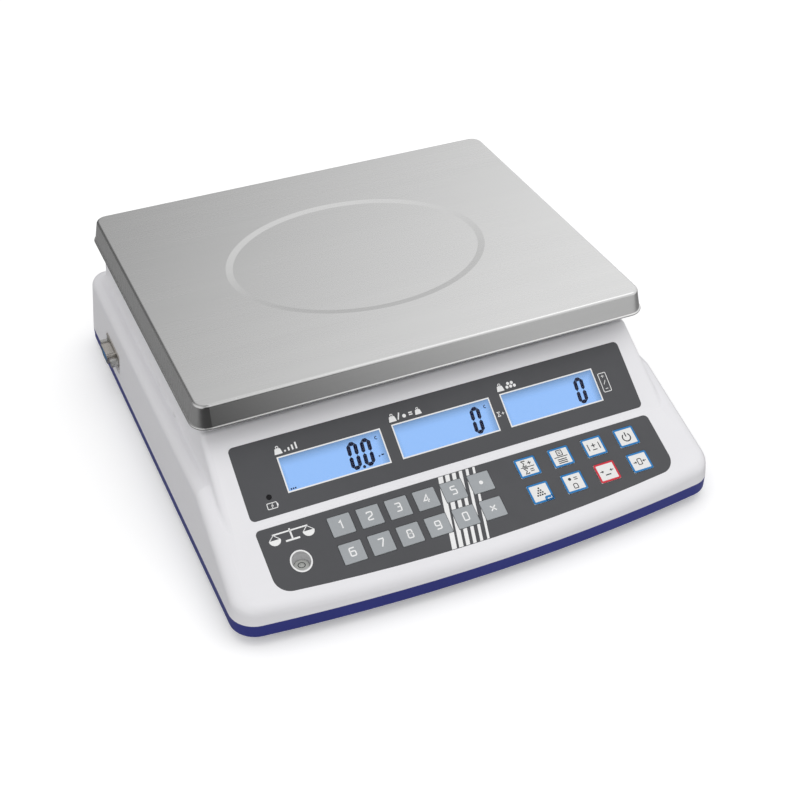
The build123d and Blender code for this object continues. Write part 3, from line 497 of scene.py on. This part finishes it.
FRAME_LINE = 0.8
artwork = []
windows = [DISPLAY.spread(f"lcd_{name}") for name in ("weight", "unit_weight", "count")]
_, lens_high = DISPLAY.spread("window_lenses")
lcd_border = (windows[0][1].y - lens_high.y)
windows = [(low.x + lcd_border, low.y + lcd_border, high.x - lcd_border, high.y - lcd_border)
           for low, high in windows]
for x0, y0, x1, y1 in windows:
    artwork.append(outline(x0, y0, x1, y1, FRAME_LINE))


def load_icon(x, y, size):
    """A weight: a trapezium with a ring on top."""
    body = bend([(-0.5, -0.5), (0.5, -0.5), (0.34, 0.18), (-0.34, 0.18)], 0.08, closed=True)
    ring = arc(0, 0.32, 0.15, 0, 360)[:-1]
    return [shift([body], x, y, size), shift(stroke(ring, 0.09, closed=True), x, y, size)]


LABEL_RISE = 3.9
LABEL_CAP = 4.1
LABEL_WEIGHT = 0.78
for index, (x0, y0, x1, y1) in enumerate(windows):
    base = y1 + LABEL_RISE
    artwork += load_icon(x0 + 2.0, base, 4.9)
    if index == 0:
        artwork += [[box(x0 + 5.6 + 2.3 * k, base - 2.0, x0 + 6.6 + 2.3 * k, base - 1.0 + 1.0 * k)]
                    for k in range(4)]
    if index == 1:
        artwork += glyph("/", x0 + 6.2, base, LABEL_CAP, LABEL_WEIGHT)
        artwork.append(disc(x0 + 9.6, base - 0.7, 1.15))
        artwork += glyph("=", x0 + 13.8, base - 0.3, LABEL_CAP, LABEL_WEIGHT)
        artwork += load_icon(x0 + 18.6, base, 4.3)
    if index == 2:
        artwork += [disc(x0 + 6.6 + 2.5 * k, base - 1.0, 0.98) for k in range(3)]
        artwork += [disc(x0 + 7.85 + 2.5 * k, base + 1.1, 0.98) for k in range(2)]

led_low, led_high = DISPLAY.spread("charge_led")
led_x, led_y = (led_low.x + led_high.x) / 2, (led_low.y + led_high.y) / 2
icon_x, icon_y = led_x + 0.3, led_y - 5.2
artwork.append(outline(icon_x - 3.1, icon_y - 1.9, icon_x + 3.1, icon_y + 1.9, 0.42, 0.5))
artwork.append([box(icon_x + 3.1, icon_y - 0.8, icon_x + 3.6, icon_y + 0.8)])
artwork.append(stroke([(icon_x + 0.5, icon_y + 1.2), (icon_x - 0.5, icon_y - 0.1),
                       (icon_x + 0.6, icon_y + 0.1), (icon_x - 0.4, icon_y - 1.2)], 0.36))
cell_x = windows[2][2] + 5.2
cell_y = (windows[2][1] + windows[2][3]) / 2
artwork.append(outline(cell_x - 2.8, cell_y - 6.3, cell_x + 2.8, cell_y + 6.3, 0.42, 0.6))
artwork += glyph("+", cell_x, cell_y + 4.0, 3.4, 0.36) + glyph("-", cell_x, cell_y - 4.1, 3.4, 0.36)
artwork.append(stroke([(cell_x - 0.8, cell_y - 1.3), (cell_x + 0.8, cell_y + 1.3)], 0.36))
between = (windows[1][2] + windows[2][0]) / 2
artwork += glyph("sum", between - 1.1, cell_y - 0.9, 2.6, 0.4)
artwork += glyph("+", between + 1.7, cell_y - 0.9, 2.9, 0.4)
print_on("display_print", DISPLAY.matrix, artwork, "housing", INK_WHITE)

# Keypad film: a plain balance mark, and even slanted lines that stop short of the keys.
film_low, film_high = KEYPAD.spread("keypad_overlay")
KEY_GAP = 0.3
FILM_SIDE_DEPTH = 38.9
FAR = 200
SMALLEST = 0.02
keys = {body: KEYPAD.spread(body) for body in NODES if body.startswith("key_") and body != "key_domes"}


def key_top(name):
    """Limits of a key cap on its slope, without its plunger."""
    low, high = keys[name]
    return low.x, low.y, high.x, high.y, high.z


artwork = []
mark_x, mark_y = film_low.x + 19.0, -7.6
artwork.append(stroke([(mark_x - 10.5, mark_y + 2.6), (mark_x + 10.5, mark_y + 2.6)], 0.9))
artwork.append([[(mark_x - 0.5, mark_y + 3.9), (mark_x - 0.5, mark_y - 2.6), (mark_x + 0.5, mark_y - 2.6),
                 (mark_x + 0.5, mark_y + 3.9)]])
artwork.append([box(mark_x - 4.2, mark_y - 3.6, mark_x + 4.2, mark_y - 2.5)])
for side in (-1, 1):
    pan_x = mark_x + side * 10.0
    artwork.append([[*arc(pan_x, mark_y - 0.6, 3.5, 180, 360, 14)]])
    for reach in (-3.1, 3.1):
        artwork.append(stroke([(pan_x, mark_y + 2.4), (pan_x + reach, mark_y - 0.6)], 0.42))

STRIPE_WIDTHS = (3.0, 2.7, 2.4, 2.1, 1.8, 1.5)
STRIPE_PITCH = 4.45
STRIPE_LEFT = -14.8
SLANT = 0.235
EDGE = 0.35
rows = [key_top("key_5"), key_top("key_0")]
bow_depth = -film_low.y
half_film = (film_high.x - film_low.x) / 2
bow_radius = (half_film ** 2 + (bow_depth - FILM_SIDE_DEPTH) ** 2) / 2 / (bow_depth - FILM_SIDE_DEPTH)


def film_bottom(x):
    return -bow_depth + bow_radius - math.sqrt(bow_radius ** 2 - x * x) + EDGE


UPPER_GAPS = (("4", "5"), ("5", "point"), ("point", None))
LOWER_GAPS = (("9", "0"), ("0", "clear"), ("clear", None))
for index, wide in enumerate(STRIPE_WIDTHS):
    x0 = STRIPE_LEFT + index * STRIPE_PITCH
    top = -EDGE
    foot = [film_bottom(x0 + dx - SLANT * bow_depth) for dx in (0, wide)]
    stripe = [(x0 + SLANT * top, top), (x0 + SLANT * foot[0], foot[0]),
              (x0 + wide + SLANT * foot[1], foot[1]), (x0 + wide + SLANT * top, top)]
    edges = [top + 1]
    for _, low_y, _, high_y, _ in rows:
        edges += [high_y + KEY_GAP, low_y - KEY_GAP]
    edges.append(-bow_depth - 1)
    for band in range(len(edges) - 1):
        piece = clip(clip(stripe, 0, 1, edges[band]), 0, -1, -edges[band + 1])
        if band % 2 == 0:
            spans = [(-FAR, FAR)]
        else:
            spans = [(key_top(f"key_{a}")[2] + KEY_GAP, key_top(f"key_{b}")[0] - KEY_GAP if b else FAR)
                     for a, b in (UPPER_GAPS if band == 1 else LOWER_GAPS)]
        for low_x, high_x in spans:
            part = clip(clip(piece, -1, 0, -low_x), 1, 0, high_x) if piece else []
            area = abs(sum(p[0] * q[1] - q[0] * p[1] for p, q in zip(part, part[1:] + part[:1]))) / 2
            if area > SMALLEST:
                artwork.append([part])
print_on("keypad_print", KEYPAD.matrix, artwork, "housing", INK_WHITE)

# ---------------------------------------------------------------- key legends

LEGEND = (-0.02, 0.025)


def on_key(name, suffix, groups, material):
    x0, y0, x1, y1, top = key_top(name)
    matrix = KEYPAD.at((x0 + x1) / 2, (y0 + y1) / 2, top)
    return print_on(f"{name}_{suffix}", matrix, groups, name, material, *LEGEND)


for digit in "1234567890":
    on_key(f"key_{digit}", "legend", glyph(digit, 0, 0.2, 4.9, 0.8), INK_WHITE)
cross = [stroke([(-1.6, -1.6), (1.6, 1.6)], 0.8), stroke([(-1.6, 1.6), (1.6, -1.6)], 0.8)]
on_key("key_clear", "legend", cross, INK_WHITE)
on_key("key_point", "legend", [disc(0, -0.2, 1.25)], INK_WHITE)

BORDER = 1.15
OVERLAP = 0.02
BORDER_REACH = (-0.3, 0.025)
TEETH = 30
WHEEL_LEVELS = (4.2, 7.0)
RULE = 0.5


def rule(y, half=4.4):
    return stroke([(-half, y), (half, y)], RULE)


def arrow(x, y, way, size):
    return [stroke([(x - way * size * 1.2, y), (x, y)], RULE),
            [[(x - way * size * 0.55, y + size * 0.5), (x, y), (x - way * size * 0.55, y - size * 0.5)]]]


FINE = 0.55
sheet = bend([(-1.7, -1.7), (1.7, -1.7), (1.7, 1.7), (-1.7, 1.7)], 0.3, closed=True)
dots = [disc(x * 1.5 + offset, 3.0 - row * 1.5, 0.58, 12)
        for row, (count, offset) in enumerate(((1, 0), (2, -0.75), (3, -1.5), (4, -2.25)))
        for x in range(count)]
jar = bend([(-1.3, -1.7), (1.3, -1.7), (1.3, 0.7), (0.7, 1.3), (-0.7, 1.3), (-1.3, 0.7)], 0.4, closed=True)
FUNCTION_ART = {
    "key_memory": [*glyph("sum", -1.6, 2.5, 3.5, FINE), *glyph("+", 2.1, 2.4, 4.2, FINE), rule(0.0),
                   *glyph("sum", -1.6, -2.5, 3.5, FINE), *glyph("=", 2.1, -2.5, 4.2, FINE)],
    "key_print": [shift(stroke(sheet, FINE, closed=True), 0, 2.7, 1.0),
                  stroke([(-0.8, 3.2), (0.8, 3.2)], 0.4), stroke([(-0.8, 2.3), (0.8, 2.3)], 0.4), rule(0.0),
                  *[stroke([(-3.0, y), (3.0, y)], 0.6) for y in (-1.6, -2.8, -4.0)]],
    "key_tolerance": [*glyph("+", 0, 0.9, 5.0, 0.6), stroke([(-1.5, -2.0), (1.5, -2.0)], 0.6),
                      stroke([(-3.7, -2.2), (-3.7, 2.4)], 0.6), stroke([(3.7, -2.2), (3.7, 2.4)], 0.6)],
    "key_power": [stroke(arc(0, -0.4, 2.6, 125, 415), 0.75), stroke([(0, 0.2), (0, 3.2)], 0.75)],
    "key_count": dots,
    "key_reference": [disc(-1.9, 2.5, 1.0), *glyph("=", 2.0, 2.2, 4.0, FINE),
                      shift(stroke(jar, FINE, closed=True), 0, -2.3, 1.0)],
    "key_tare": [stroke([(-1.8, -1.9), (1.8, -1.9)], 0.7), *arrow(-2.1, 0.6, 1, 2.0),
                 *arrow(2.1, 0.6, -1, 2.0)],
    "key_zero": [*glyph("0", 0, 0, 4.0, FINE), *arrow(-2.0, 0, 1, 1.9), *arrow(2.0, 0, -1, 1.9)],
}
for name, art in FUNCTION_ART.items():
    x0, y0, x1, y1, top = key_top(name)
    half_x, half_y = (x1 - x0) / 2, (y1 - y0) / 2
    inset = -OVERLAP
    matrix = KEYPAD.at((x0 + x1) / 2, (y0 + y1) / 2, top)
    rim = outline(-half_x + inset, -half_y + inset, half_x - inset, half_y - inset, BORDER, 0.5)
    border = [rim]
    if name == "key_count":
        foot = -half_y
        tab = [(half_x - inset, foot + inset), (half_x - inset, foot + 3.3), (half_x - 4.8, foot + 3.3),
               (half_x - 5.6, foot + 2.5), (half_x - 5.6, foot + inset)]
        border.append([bend(tab, 0.4, closed=True)])
        hook = [(half_x - 1.3, foot + 2.6), (half_x - 1.3, foot + 1.5), (half_x - 4.2, foot + 1.5)]
        tip = [(half_x - 3.4, foot + 2.1), (half_x - 4.5, foot + 1.5), (half_x - 3.4, foot + 0.9)]
        print_on("key_count_enter", matrix, [stroke(hook, 0.34), [tip]], name, INK_WHITE, 0.0, 0.045)
    ink = INK_RED if name == "key_tare" else INK_BLUE
    print_on(f"{name}_border", matrix, border, name, ink, *BORDER_REACH)
    on_key(name, "legend", art, INK_BLACK)

# ---------------------------------------------------------------- liquid crystal segments

DIGIT = (6.6, 16.8)
SEGMENT_WIDE = 2.35
SEGMENT_GAP = 0.06
LEAN = 0.07


def segment(x0, y0, x1, y1):
    """A bar with pointed ends."""
    along = Vector((x1 - x0, y1 - y0)).normalized()
    across = Vector((-along.y, along.x)) * SEGMENT_WIDE / 2
    start = Vector((x0, y0)) + along * SEGMENT_GAP
    end = Vector((x1, y1)) - along * SEGMENT_GAP
    tip = along * SEGMENT_WIDE / 2
    return [tuple(p) for p in (start, start + tip + across, end - tip + across, end, end - tip - across,
                               start + tip - across)]


def nought(x, y):
    """A lit nought."""
    half_x, half_y = DIGIT[0] / 2, DIGIT[1] / 2
    inset = SEGMENT_WIDE / 2
    left, right, low, high = -half_x + inset, half_x - inset, -half_y + inset, half_y - inset
    bars = [segment(left, high, right, high), segment(left, low, right, low)]
    for side in (left, right):
        bars += [segment(side, 0, side, high), segment(side, low, side, 0)]
    return [[[(x + px + py * LEAN, y + py) for px, py in bar]] for bar in bars]


for index, name in enumerate(("weight", "unit_weight", "count")):
    x0, y0, x1, y1 = windows[index]
    low, high = DISPLAY.spread(f"lcd_{name}")
    middle_x, middle_y = (x0 + x1) / 2, (y0 + y1) / 2 - 0.5
    lit = nought(middle_x + 20.6, middle_y)
    if index == 0:
        lit += nought(middle_x + 12.2, middle_y)
        lit.append(disc(middle_x + 16.0, middle_y - 7.8, 0.95, 14))
        lit += [[box(middle_x + 26.2, middle_y - 4.6, middle_x + 27.2, middle_y - 3.8)],
                [box(middle_x + 28.0, middle_y - 4.2, middle_x + 29.6, middle_y - 3.4)]]
        lit += [[box(middle_x - 29.6 + 1.3 * k, middle_y - 8.8, middle_x - 28.8 + 1.3 * k, middle_y - 7.8)]
                for k in range(3)]
    if index < 2:
        lit.append(stroke(arc(middle_x + 28.4, middle_y + 6.8, 0.85, 60, 300, 10), 0.5))
    print_on(f"lcd_{name}_segments", DISPLAY.at(0, 0, high.z), lit, "housing", SEGMENT, -0.01, 0.02)

# ---------------------------------------------------------------- spirit level

cup_low, cup_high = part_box("level_cup")
vial_low, vial_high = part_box("level_vial")
level_at = ((vial_low.x + vial_high.x) / 2, (vial_low.y + vial_high.y) / 2, vial_high.z)
level = Matrix.Translation(level_at) @ Matrix.Scale(MM, 4)
bm = bmesh.new()
lathe(bm, [(1.75, -0.05), (2.25, -0.05), (2.25, 0.04), (1.75, 0.04), (1.75, -0.05)], level)
lathe(bm, [(3.9, -0.9), (4.35, -0.9), (4.35, -0.75), (3.9, -0.75), (3.9, -0.9)], level)
finish_piece("level_ring", bm, "housing", INK_BLACK)
bm = bmesh.new()
bubble = level @ Matrix.Translation((0.2, 0.15, -0.05))
lathe(bm, [(0, -0.05), (0.9, 0.0), (0.95, 0.08), (0.8, 0.2), (0.45, 0.28), (0, 0.31)], bubble, 32)
BUBBLE = moulded("level_bubble", (0.42, 0.43, 0.41), rough=0.08, drift=0.05, bump=0.0, Coat_Weight=1.0)
finish_piece("level_bubble", bm, "housing", BUBBLE, smooth=True)

# Bright rim where the upright cup meets the sloped film: an ellipse on the slope.
CUP_RIM = 0.85
to_slope = KEYPAD.matrix.inverted()
cup_axis = to_slope @ Vector(((cup_low.x + cup_high.x) / 2, (cup_low.y + cup_high.y) / 2, cup_low.z))
upward = to_slope.to_3x3() @ Vector((0, 0, 1))
cup_at = cup_axis - upward * (cup_axis.z / upward.z)
cup_radius = (cup_high.x - cup_low.x) / 2 / MM
lengthen = upward.length / upward.z
rim_radius = cup_radius - CUP_RIM / 2 + 0.1
ellipse = [(cup_at.x + x, cup_at.y + y * lengthen) for x, y in arc(0, 0, rim_radius, 0, 360, 64)[:-1]]
ring = [stroke(ellipse, CUP_RIM, closed=True)]
print_on("level_rim", KEYPAD.matrix, ring, "housing", INK_WHITE, -0.1, 0.22)

# ---------------------------------------------------------------- feet: knurled wheels

for number in range(1, 5):
    low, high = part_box(f"foot_{number}_stud")
    axis = Matrix.Translation(((low.x + high.x) / 2, (low.y + high.y) / 2, 0)) @ Matrix.Scale(MM, 4)
    wheel = (high.x - low.x) / 2 / MM
    bm = bmesh.new()
    for tooth in range(TEETH):
        turn = axis @ Matrix.Rotation(math.tau * tooth / TEETH, 4, "Z")
        ridge = [[(wheel - 0.3, -0.55), (wheel + 0.55, -0.3), (wheel + 0.55, 0.3), (wheel - 0.3, 0.55)]]
        add_prism(bm, ridge, turn, *WHEEL_LEVELS)
    finish_piece(f"foot_{number}_knurl", bm, f"foot_{number}_stud", ZINC)

# ---------------------------------------------------------------- stage, light and camera


def stage_material(name, seen, felt):
    """Floor that the camera sees white, and that metal sees as grey, in front darker to the left."""
    material, tree, bsdf = new_material(name)
    path = add(tree, "ShaderNodeLightPath").outputs["Is Glossy Ray"]
    where = add(tree, "ShaderNodeTexCoord").outputs["Object"]
    axes = add(tree, "ShaderNodeSeparateXYZ", {"Vector": where}).outputs
    across = remap(tree, axes["X"], 0.0, 1.0, (-0.10, 0.22))
    in_front = mix(tree, across, (0.05, 0.05, 0.05, 1), (0.64, 0.64, 0.64, 1))
    direct = add(tree, "ShaderNodeLightPath").outputs["Is Camera Ray"]
    tone = mix(tree, path, mix(tree, direct, (0.52, 0.52, 0.52, 1), seen),
               mix(tree, remap(tree, axes["Y"], 0.0, 1.0, (-0.32, -0.12)), in_front, felt))
    grain = noise(tree, where, 40.0)
    tree.links.new(tone, bsdf.inputs["Base Color"])
    tree.links.new(remap(tree, grain, 0.85, 0.95), bsdf.inputs["Roughness"])
    tree.links.new(mix(tree, direct, (0, 0, 0, 1), (1, 1, 1, 1)), bsdf.inputs["Emission Color"])
    bsdf.inputs["Emission Strength"].default_value = 0.22
    bsdf.inputs["Specular IOR Level"].default_value = 0.0
    return material


FLOOR_RADIUS = 1.3
bm = bmesh.new()
bmesh.ops.create_circle(bm, cap_ends=True, segments=96, radius=FLOOR_RADIUS)
floor_mesh = bpy.data.meshes.new("floor")
bm.to_mesh(floor_mesh)
bm.free()
floor = bpy.data.objects.new("floor", floor_mesh)
floor_mesh.materials.append(stage_material("floor_paper", (0.92, 0.92, 0.92, 1), (0.28, 0.28, 0.28, 1)))
bpy.context.scene.collection.objects.link(floor)

world = bpy.data.worlds.new("studio")
world.use_nodes = True
tree = world.node_tree
direction = add(tree, "ShaderNodeTexCoord").outputs["Generated"]


def lobe(axis, start, end, amount):
    """A soft bright or dark patch of the studio round a direction."""
    toward = Vector(axis).normalized()
    near = dot(tree, direction, toward)
    made = add(tree, "ShaderNodeMapRange", {"Value": near, "From Min": start, "From Max": end, "To Min": 0.0,
                                            "To Max": amount}, interpolation_type="SMOOTHSTEP")
    return made.outputs["Result"]


# What metal mirrors: brighter to the right and overhead, with soft patches (direction, where the
# patch starts and ends as a cosine, and how much it adds). The patches follow the photograph.
PATCHES = (
    ((-0.12, -1.0, 0.04), 0.84, 0.98, -0.85),
    ((-0.95, -0.2, 0.3), 0.30, 1.0, 0.75),
    ((0.36, -0.93, 0.0), 0.96, 1.0, 0.16),
    ((0.08, 0.0, 1.0), 0.93, 0.99, -0.75),
    ((0.38, 0.70, 0.62), 0.93, 1.0, 0.16),
    ((0.26, 0.86, 0.42), 0.93, 1.0, -0.16),
    ((0.46, 0.0, 0.89), 0.90, 0.99, 0.7),
)
total = calc(tree, "ADD", dot(tree, direction, (1.25, 0.0, 0.68)), 0.07)
total = calc(tree, "MINIMUM", calc(tree, "MAXIMUM", total, 0.10), 1.0)
for patch in PATCHES:
    total = calc(tree, "ADD", total, lobe(*patch))
level_of = calc(tree, "MAXIMUM", total, 0.02)
seen = add(tree, "ShaderNodeLightPath").outputs["Is Camera Ray"]
soft = calc(tree, "ADD", dot(tree, direction, (-0.03, -0.13, 0.12)), 0.75)
mirrored = add(tree, "ShaderNodeLightPath").outputs["Is Glossy Ray"]
lit_by = add(tree, "ShaderNodeMix", {"Factor": mirrored, "A": soft, "B": level_of}).outputs["Result"]
strength = add(tree, "ShaderNodeMix", {"Factor": seen, "A": lit_by, "B": 1.0}).outputs["Result"]
background = tree.nodes["Background"]
background.inputs["Color"].default_value = (1, 1, 1, 1)
tree.links.new(strength, background.inputs["Strength"])
bpy.context.scene.world = world


def softbox(name, place, aim, size, power):
    data = bpy.data.lights.new(name, "AREA")
    data.shape = "RECTANGLE"
    data.size, data.size_y = size
    data.energy = power
    lamp = bpy.data.objects.new(name, data)
    lamp.location = place
    lamp.rotation_euler = (Vector(aim) - Vector(place)).to_track_quat("-Z", "Y").to_euler()
    lamp.visible_glossy = False
    bpy.context.scene.collection.objects.link(lamp)


softbox("key_light", (0.15, -0.30, 1.5), (0, 0, 0.05), (1.3, 1.3), 4.0)
softbox("fill_light", (-0.9, -1.1, 0.9), (0, 0, 0.05), (0.9, 0.9), 0.9)

CAMERA_AT = Vector((-0.27225, -0.64043, 0.55828))
AZIMUTH, ELEVATION = math.radians(-24.24), math.radians(38.10)
camera_data = bpy.data.cameras.new("camera")
camera_data.sensor_width = 36.0
camera_data.lens = 60.0
camera = bpy.data.objects.new("camera", camera_data)
flat = math.cos(ELEVATION)
back = Vector((math.sin(AZIMUTH) * flat, -math.cos(AZIMUTH) * flat, math.sin(ELEVATION)))
camera.location = CAMERA_AT
camera.rotation_mode = "QUATERNION"
camera.rotation_quaternion = (-back).to_track_quat("-Z", "Y")
bpy.context.scene.collection.objects.link(camera)
bpy.context.scene.camera = camera
bpy.context.scene.view_settings.view_transform = "Standard"
